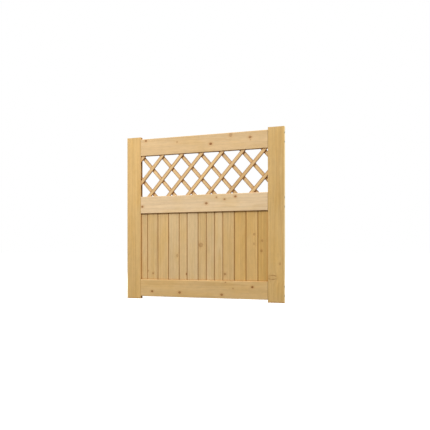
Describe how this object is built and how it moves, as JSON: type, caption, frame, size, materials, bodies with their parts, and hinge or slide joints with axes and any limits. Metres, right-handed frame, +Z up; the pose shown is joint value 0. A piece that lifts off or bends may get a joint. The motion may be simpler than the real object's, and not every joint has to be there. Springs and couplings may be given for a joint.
{
  "type": "garden gate leaf",
  "caption": "Wooden garden gate leaf: stiles and rails framing a diagonal lattice top over vertical V-jointed boards.",
  "frame": {"origin": "bottom centre of the leaf: midway across its width and its thickness, level with the feet of the stiles", "axes": "+X to the right seen from the boarded front, +Y through the leaf towards the back, +Z up"},
  "size_m": [0.9, 0.023, 0.9],
  "materials": {
    "stile_wood": "planed softwood, matt",
    "rail_wood": "planed softwood, matt",
    "board_wood": "planed softwood, matt",
    "slat_wood": "planed softwood, matt",
    "screw_steel": "zinc plated, dull",
    "brad_steel": "zinc plated"
  },
  "bodies": {
    "root": {"left_stile": "stile_wood", "right_stile": "stile_wood", "top_rail": "rail_wood", "mid_rail": "rail_wood", "bottom_rail": "rail_wood", "board_01": "board_wood", "board_02": "board_wood", "board_03": "board_wood", "board_04": "board_wood", "board_05": "board_wood", "board_06": "board_wood", "board_07": "board_wood", "board_08": "board_wood", "board_09": "board_wood", "board_10": "board_wood", "board_11": "board_wood", "board_12": "board_wood", "board_13": "board_wood", "slat_front_1": "slat_wood", "slat_front_2": "slat_wood", "slat_front_3": "slat_wood", "slat_front_4": "slat_wood", "slat_front_5": "slat_wood", "slat_front_6": "slat_wood", "slat_front_7": "slat_wood", "slat_front_8": "slat_wood", "slat_back_1": "slat_wood", "slat_back_2": "slat_wood", "slat_back_3": "slat_wood", "slat_back_4": "slat_wood", "slat_back_5": "slat_wood", "slat_back_6": "slat_wood", "slat_back_7": "slat_wood", "slat_back_8": "slat_wood", "rail_screws": "screw_steel", "lattice_brads": "brad_steel"}
  },
  "joints": []
}
